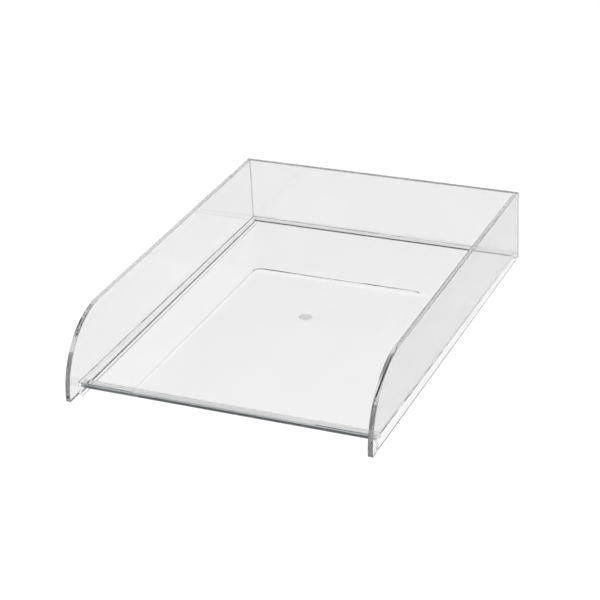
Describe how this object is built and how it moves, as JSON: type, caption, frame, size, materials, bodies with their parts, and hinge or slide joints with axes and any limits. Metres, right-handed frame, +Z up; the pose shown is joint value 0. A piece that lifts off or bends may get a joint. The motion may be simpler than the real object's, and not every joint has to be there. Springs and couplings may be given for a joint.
{
  "type": "letter tray",
  "caption": "Clear plastic desk tray for letter sheets: low back and side walls with quarter-round fronts, a gently sloping floor with a thickened front lip, and stacking rails underneath.",
  "frame": {"origin": "middle of the tray's footprint, in the plane of the stacking rails' undersides, which the tray stands on", "axes": "+X to the right as seen from the open front, +Y towards the back wall, +Z up"},
  "size_m": [0.242, 0.33, 0.061],
  "materials": {
    "clear_plastic": "clear, colourless, polished"
  },
  "bodies": {
    "root": {"left_side_wall": "clear_plastic", "right_side_wall": "clear_plastic", "back_wall": "clear_plastic", "floor_panel": "clear_plastic", "front_lip": "clear_plastic", "left_stacking_rail": "clear_plastic", "right_stacking_rail": "clear_plastic"}
  },
  "joints": []
}
